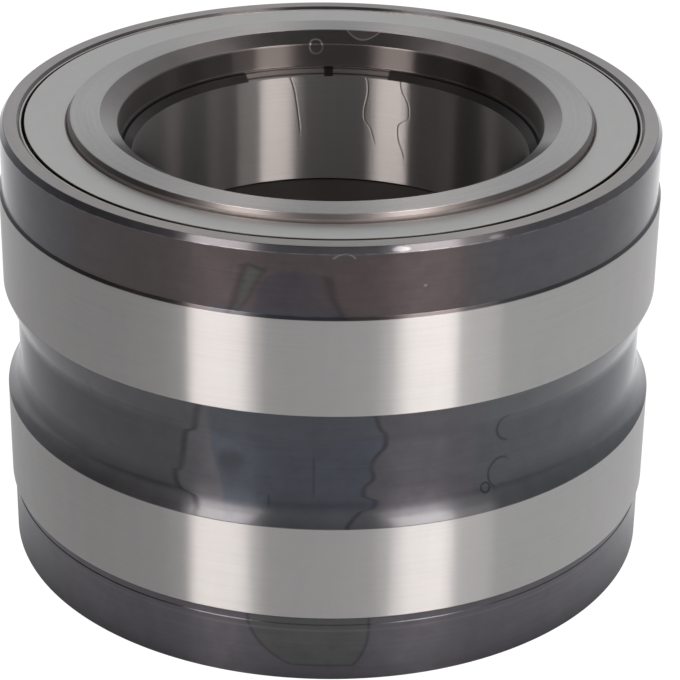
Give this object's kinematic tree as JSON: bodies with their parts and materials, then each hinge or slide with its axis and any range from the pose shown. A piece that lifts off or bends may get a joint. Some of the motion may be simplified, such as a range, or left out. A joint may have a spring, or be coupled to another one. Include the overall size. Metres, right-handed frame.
{
  "type": "wheel bearing unit",
  "caption": "Sealed double-row tapered roller bearing unit: one-piece outer ring with two ground lands, two inner rings and a cassette seal at each end.",
  "frame": {"origin": "centre of the lower inner ring's end face, on which the unit stands", "axes": "+Z along the bearing's axis, towards the upper end face; +X through the first roller of each row"},
  "size_m": [0.13, 0.13, 0.09],
  "materials": {
    "outer_ring_steel": "ground lands between heat-tinted dark turned bands",
    "inner_ring_steel": "ground bore and end face, dark oiled counterbore",
    "spring_steel": "tempered spring strip",
    "cage_polymer": "glass-filled moulded polymer",
    "seal_case_steel": "drawn sheet, lightly oiled",
    "flinger_steel": "satin pressed sheet",
    "seal_rubber": "moulded nitrile rubber",
    "roller_steel": "superfinished bearing steel"
  },
  "bodies": {
    "inner_set": {"inner_ring_upper": "inner_ring_steel", "inner_ring_lower": "inner_ring_steel", "retaining_ring": "spring_steel", "flinger_upper": "flinger_steel", "flinger_lower": "flinger_steel"},
    "outer_set": {"outer_ring": "outer_ring_steel", "seal_case_upper": "seal_case_steel", "seal_case_lower": "seal_case_steel", "seal_lip_upper": "seal_rubber", "seal_lip_lower": "seal_rubber"},
    "cage_upper": {"cage_upper": "cage_polymer"},
    "cage_lower": {"cage_lower": "cage_polymer"},
    "roller_upper_01": {"roller_upper_01": "roller_steel"},
    "roller_upper_02": {"roller_upper_02": "roller_steel"},
    "roller_upper_03": {"roller_upper_03": "roller_steel"},
    "roller_upper_04": {"roller_upper_04": "roller_steel"},
    "roller_upper_05": {"roller_upper_05": "roller_steel"},
    "roller_upper_06": {"roller_upper_06": "roller_steel"},
    "roller_upper_07": {"roller_upper_07": "roller_steel"},
    "roller_upper_08": {"roller_upper_08": "roller_steel"},
    "roller_upper_09": {"roller_upper_09": "roller_steel"},
    "roller_upper_10": {"roller_upper_10": "roller_steel"},
    "roller_upper_11": {"roller_upper_11": "roller_steel"},
    "roller_upper_12": {"roller_upper_12": "roller_steel"},
    "roller_upper_13": {"roller_upper_13": "roller_steel"},
    "roller_upper_14": {"roller_upper_14": "roller_steel"},
    "roller_upper_15": {"roller_upper_15": "roller_steel"},
    "roller_upper_16": {"roller_upper_16": "roller_steel"},
    "roller_upper_17": {"roller_upper_17": "roller_steel"},
    "roller_upper_18": {"roller_upper_18": "roller_steel"},
    "roller_upper_19": {"roller_upper_19": "roller_steel"},
    "roller_upper_20": {"roller_upper_20": "roller_steel"},
    "roller_lower_01": {"roller_lower_01": "roller_steel"},
    "roller_lower_02": {"roller_lower_02": "roller_steel"},
    "roller_lower_03": {"roller_lower_03": "roller_steel"},
    "roller_lower_04": {"roller_lower_04": "roller_steel"},
    "roller_lower_05": {"roller_lower_05": "roller_steel"},
    "roller_lower_06": {"roller_lower_06": "roller_steel"},
    "roller_lower_07": {"roller_lower_07": "roller_steel"},
    "roller_lower_08": {"roller_lower_08": "roller_steel"},
    "roller_lower_09": {"roller_lower_09": "roller_steel"},
    "roller_lower_10": {"roller_lower_10": "roller_steel"},
    "roller_lower_11": {"roller_lower_11": "roller_steel"},
    "roller_lower_12": {"roller_lower_12": "roller_steel"},
    "roller_lower_13": {"roller_lower_13": "roller_steel"},
    "roller_lower_14": {"roller_lower_14": "roller_steel"},
    "roller_lower_15": {"roller_lower_15": "roller_steel"},
    "roller_lower_16": {"roller_lower_16": "roller_steel"},
    "roller_lower_17": {"roller_lower_17": "roller_steel"},
    "roller_lower_18": {"roller_lower_18": "roller_steel"},
    "roller_lower_19": {"roller_lower_19": "roller_steel"},
    "roller_lower_20": {"roller_lower_20": "roller_steel"}
  },
  "joints": [
    {"name": "outer_spin", "type": "hinge", "parent": "inner_set", "child": "outer_set", "pos_m": [0, 0, 0.045], "axis": [0, 0, 1], "continuous": true},
    {"name": "cage_upper_spin", "type": "hinge", "parent": "inner_set", "child": "cage_upper", "pos_m": [0, 0, 0.045], "axis": [0, 0, 1], "continuous": true},
    {"name": "roller_upper_01_spin", "type": "hinge", "parent": "cage_upper", "child": "roller_upper_01", "pos_m": [0.05101, 0, 0.06454], "axis": [0.2419, 0, 0.9703], "continuous": true},
    {"name": "roller_upper_02_spin", "type": "hinge", "parent": "cage_upper", "child": "roller_upper_02", "pos_m": [0.04852, 0.01576, 0.06454], "axis": [0.2301, 0.0748, 0.9703], "continuous": true},
    {"name": "roller_upper_03_spin", "type": "hinge", "parent": "cage_upper", "child": "roller_upper_03", "pos_m": [0.04127, 0.02998, 0.06454], "axis": [0.1957, 0.1422, 0.9703], "continuous": true},
    {"name": "roller_upper_04_spin", "type": "hinge", "parent": "cage_upper", "child": "roller_upper_04", "pos_m": [0.02998, 0.04127, 0.06454], "axis": [0.1422, 0.1957, 0.9703], "continuous": true},
    {"name": "roller_upper_05_spin", "type": "hinge", "parent": "cage_upper", "child": "roller_upper_05", "pos_m": [0.01576, 0.04852, 0.06454], "axis": [0.0748, 0.2301, 0.9703], "continuous": true},
    {"name": "roller_upper_06_spin", "type": "hinge", "parent": "cage_upper", "child": "roller_upper_06", "pos_m": [0, 0.05101, 0.06454], "axis": [0, 0.2419, 0.9703], "continuous": true},
    {"name": "roller_upper_07_spin", "type": "hinge", "parent": "cage_upper", "child": "roller_upper_07", "pos_m": [-0.01576, 0.04852, 0.06454], "axis": [-0.0748, 0.2301, 0.9703], "continuous": true},
    {"name": "roller_upper_08_spin", "type": "hinge", "parent": "cage_upper", "child": "roller_upper_08", "pos_m": [-0.02998, 0.04127, 0.06454], "axis": [-0.1422, 0.1957, 0.9703], "continuous": true},
    {"name": "roller_upper_09_spin", "type": "hinge", "parent": "cage_upper", "child": "roller_upper_09", "pos_m": [-0.04127, 0.02998, 0.06454], "axis": [-0.1957, 0.1422, 0.9703], "continuous": true},
    {"name": "roller_upper_10_spin", "type": "hinge", "parent": "cage_upper", "child": "roller_upper_10", "pos_m": [-0.04852, 0.01576, 0.06454], "axis": [-0.2301, 0.0748, 0.9703], "continuous": true},
    {"name": "roller_upper_11_spin", "type": "hinge", "parent": "cage_upper", "child": "roller_upper_11", "pos_m": [-0.05101, 0, 0.06454], "axis": [-0.2419, 0, 0.9703], "continuous": true},
    {"name": "roller_upper_12_spin", "type": "hinge", "parent": "cage_upper", "child": "roller_upper_12", "pos_m": [-0.04852, -0.01576, 0.06454], "axis": [-0.2301, -0.0748, 0.9703], "continuous": true},
    {"name": "roller_upper_13_spin", "type": "hinge", "parent": "cage_upper", "child": "roller_upper_13", "pos_m": [-0.04127, -0.02998, 0.06454], "axis": [-0.1957, -0.1422, 0.9703], "continuous": true},
    {"name": "roller_upper_14_spin", "type": "hinge", "parent": "cage_upper", "child": "roller_upper_14", "pos_m": [-0.02998, -0.04127, 0.06454], "axis": [-0.1422, -0.1957, 0.9703], "continuous": true},
    {"name": "roller_upper_15_spin", "type": "hinge", "parent": "cage_upper", "child": "roller_upper_15", "pos_m": [-0.01576, -0.04852, 0.06454], "axis": [-0.0748, -0.2301, 0.9703], "continuous": true},
    {"name": "roller_upper_16_spin", "type": "hinge", "parent": "cage_upper", "child": "roller_upper_16", "pos_m": [0, -0.05101, 0.06454], "axis": [0, -0.2419, 0.9703], "continuous": true},
    {"name": "roller_upper_17_spin", "type": "hinge", "parent": "cage_upper", "child": "roller_upper_17", "pos_m": [0.01576, -0.04852, 0.06454], "axis": [0.0748, -0.2301, 0.9703], "continuous": true},
    {"name": "roller_upper_18_spin", "type": "hinge", "parent": "cage_upper", "child": "roller_upper_18", "pos_m": [0.02998, -0.04127, 0.06454], "axis": [0.1422, -0.1957, 0.9703], "continuous": true},
    {"name": "roller_upper_19_spin", "type": "hinge", "parent": "cage_upper", "child": "roller_upper_19", "pos_m": [0.04127, -0.02998, 0.06454], "axis": [0.1957, -0.1422, 0.9703], "continuous": true},
    {"name": "roller_upper_20_spin", "type": "hinge", "parent": "cage_upper", "child": "roller_upper_20", "pos_m": [0.04852, -0.01576, 0.06454], "axis": [0.2301, -0.0748, 0.9703], "continuous": true},
    {"name": "cage_lower_spin", "type": "hinge", "parent": "inner_set", "child": "cage_lower", "pos_m": [0, 0, 0.045], "axis": [0, 0, 1], "continuous": true},
    {"name": "roller_lower_01_spin", "type": "hinge", "parent": "cage_lower", "child": "roller_lower_01", "pos_m": [0.05101, 0, 0.02546], "axis": [-0.2419, 0, 0.9703], "continuous": true},
    {"name": "roller_lower_02_spin", "type": "hinge", "parent": "cage_lower", "child": "roller_lower_02", "pos_m": [0.04852, 0.01576, 0.02546], "axis": [-0.2301, -0.0748, 0.9703], "continuous": true},
    {"name": "roller_lower_03_spin", "type": "hinge", "parent": "cage_lower", "child": "roller_lower_03", "pos_m": [0.04127, 0.02998, 0.02546], "axis": [-0.1957, -0.1422, 0.9703], "continuous": true},
    {"name": "roller_lower_04_spin", "type": "hinge", "parent": "cage_lower", "child": "roller_lower_04", "pos_m": [0.02998, 0.04127, 0.02546], "axis": [-0.1422, -0.1957, 0.9703], "continuous": true},
    {"name": "roller_lower_05_spin", "type": "hinge", "parent": "cage_lower", "child": "roller_lower_05", "pos_m": [0.01576, 0.04852, 0.02546], "axis": [-0.0748, -0.2301, 0.9703], "continuous": true},
    {"name": "roller_lower_06_spin", "type": "hinge", "parent": "cage_lower", "child": "roller_lower_06", "pos_m": [0, 0.05101, 0.02546], "axis": [0, -0.2419, 0.9703], "continuous": true},
    {"name": "roller_lower_07_spin", "type": "hinge", "parent": "cage_lower", "child": "roller_lower_07", "pos_m": [-0.01576, 0.04852, 0.02546], "axis": [0.0748, -0.2301, 0.9703], "continuous": true},
    {"name": "roller_lower_08_spin", "type": "hinge", "parent": "cage_lower", "child": "roller_lower_08", "pos_m": [-0.02998, 0.04127, 0.02546], "axis": [0.1422, -0.1957, 0.9703], "continuous": true},
    {"name": "roller_lower_09_spin", "type": "hinge", "parent": "cage_lower", "child": "roller_lower_09", "pos_m": [-0.04127, 0.02998, 0.02546], "axis": [0.1957, -0.1422, 0.9703], "continuous": true},
    {"name": "roller_lower_10_spin", "type": "hinge", "parent": "cage_lower", "child": "roller_lower_10", "pos_m": [-0.04852, 0.01576, 0.02546], "axis": [0.2301, -0.0748, 0.9703], "continuous": true},
    {"name": "roller_lower_11_spin", "type": "hinge", "parent": "cage_lower", "child": "roller_lower_11", "pos_m": [-0.05101, 0, 0.02546], "axis": [0.2419, 0, 0.9703], "continuous": true},
    {"name": "roller_lower_12_spin", "type": "hinge", "parent": "cage_lower", "child": "roller_lower_12", "pos_m": [-0.04852, -0.01576, 0.02546], "axis": [0.2301, 0.0748, 0.9703], "continuous": true},
    {"name": "roller_lower_13_spin", "type": "hinge", "parent": "cage_lower", "child": "roller_lower_13", "pos_m": [-0.04127, -0.02998, 0.02546], "axis": [0.1957, 0.1422, 0.9703], "continuous": true},
    {"name": "roller_lower_14_spin", "type": "hinge", "parent": "cage_lower", "child": "roller_lower_14", "pos_m": [-0.02998, -0.04127, 0.02546], "axis": [0.1422, 0.1957, 0.9703], "continuous": true},
    {"name": "roller_lower_15_spin", "type": "hinge", "parent": "cage_lower", "child": "roller_lower_15", "pos_m": [-0.01576, -0.04852, 0.02546], "axis": [0.0748, 0.2301, 0.9703], "continuous": true},
    {"name": "roller_lower_16_spin", "type": "hinge", "parent": "cage_lower", "child": "roller_lower_16", "pos_m": [0, -0.05101, 0.02546], "axis": [0, 0.2419, 0.9703], "continuous": true},
    {"name": "roller_lower_17_spin", "type": "hinge", "parent": "cage_lower", "child": "roller_lower_17", "pos_m": [0.01576, -0.04852, 0.02546], "axis": [-0.0748, 0.2301, 0.9703], "continuous": true},
    {"name": "roller_lower_18_spin", "type": "hinge", "parent": "cage_lower", "child": "roller_lower_18", "pos_m": [0.02998, -0.04127, 0.02546], "axis": [-0.1422, 0.1957, 0.9703], "continuous": true},
    {"name": "roller_lower_19_spin", "type": "hinge", "parent": "cage_lower", "child": "roller_lower_19", "pos_m": [0.04127, -0.02998, 0.02546], "axis": [-0.1957, 0.1422, 0.9703], "continuous": true},
    {"name": "roller_lower_20_spin", "type": "hinge", "parent": "cage_lower", "child": "roller_lower_20", "pos_m": [0.04852, -0.01576, 0.02546], "axis": [-0.2301, 0.0748, 0.9703], "continuous": true}
  ],
  "couplings": [
    {"joint": "cage_upper_spin", "follows": "outer_spin", "ratio": 0.56024},
    {"joint": "roller_upper_01_spin", "follows": "outer_spin", "ratio": 3.968},
    {"joint": "roller_upper_02_spin", "follows": "outer_spin", "ratio": 3.968},
    {"joint": "roller_upper_03_spin", "follows": "outer_spin", "ratio": 3.968},
    {"joint": "roller_upper_04_spin", "follows": "outer_spin", "ratio": 3.968},
    {"joint": "roller_upper_05_spin", "follows": "outer_spin", "ratio": 3.968},
    {"joint": "roller_upper_06_spin", "follows": "outer_spin", "ratio": 3.968},
    {"joint": "roller_upper_07_spin", "follows": "outer_spin", "ratio": 3.968},
    {"joint": "roller_upper_08_spin", "follows": "outer_spin", "ratio": 3.968},
    {"joint": "roller_upper_09_spin", "follows": "outer_spin", "ratio": 3.968},
    {"joint": "roller_upper_10_spin", "follows": "outer_spin", "ratio": 3.968},
    {"joint": "roller_upper_11_spin", "follows": "outer_spin", "ratio": 3.968},
    {"joint": "roller_upper_12_spin", "follows": "outer_spin", "ratio": 3.968},
    {"joint": "roller_upper_13_spin", "follows": "outer_spin", "ratio": 3.968},
    {"joint": "roller_upper_14_spin", "follows": "outer_spin", "ratio": 3.968},
    {"joint": "roller_upper_15_spin", "follows": "outer_spin", "ratio": 3.968},
    {"joint": "roller_upper_16_spin", "follows": "outer_spin", "ratio": 3.968},
    {"joint": "roller_upper_17_spin", "follows": "outer_spin", "ratio": 3.968},
    {"joint": "roller_upper_18_spin", "follows": "outer_spin", "ratio": 3.968},
    {"joint": "roller_upper_19_spin", "follows": "outer_spin", "ratio": 3.968},
    {"joint": "roller_upper_20_spin", "follows": "outer_spin", "ratio": 3.968},
    {"joint": "cage_lower_spin", "follows": "outer_spin", "ratio": 0.56024},
    {"joint": "roller_lower_01_spin", "follows": "outer_spin", "ratio": 3.968},
    {"joint": "roller_lower_02_spin", "follows": "outer_spin", "ratio": 3.968},
    {"joint": "roller_lower_03_spin", "follows": "outer_spin", "ratio": 3.968},
    {"joint": "roller_lower_04_spin", "follows": "outer_spin", "ratio": 3.968},
    {"joint": "roller_lower_05_spin", "follows": "outer_spin", "ratio": 3.968},
    {"joint": "roller_lower_06_spin", "follows": "outer_spin", "ratio": 3.968},
    {"joint": "roller_lower_07_spin", "follows": "outer_spin", "ratio": 3.968},
    {"joint": "roller_lower_08_spin", "follows": "outer_spin", "ratio": 3.968},
    {"joint": "roller_lower_09_spin", "follows": "outer_spin", "ratio": 3.968},
    {"joint": "roller_lower_10_spin", "follows": "outer_spin", "ratio": 3.968},
    {"joint": "roller_lower_11_spin", "follows": "outer_spin", "ratio": 3.968},
    {"joint": "roller_lower_12_spin", "follows": "outer_spin", "ratio": 3.968},
    {"joint": "roller_lower_13_spin", "follows": "outer_spin", "ratio": 3.968},
    {"joint": "roller_lower_14_spin", "follows": "outer_spin", "ratio": 3.968},
    {"joint": "roller_lower_15_spin", "follows": "outer_spin", "ratio": 3.968},
    {"joint": "roller_lower_16_spin", "follows": "outer_spin", "ratio": 3.968},
    {"joint": "roller_lower_17_spin", "follows": "outer_spin", "ratio": 3.968},
    {"joint": "roller_lower_18_spin", "follows": "outer_spin", "ratio": 3.968},
    {"joint": "roller_lower_19_spin", "follows": "outer_spin", "ratio": 3.968},
    {"joint": "roller_lower_20_spin", "follows": "outer_spin", "ratio": 3.968}
  ]
}
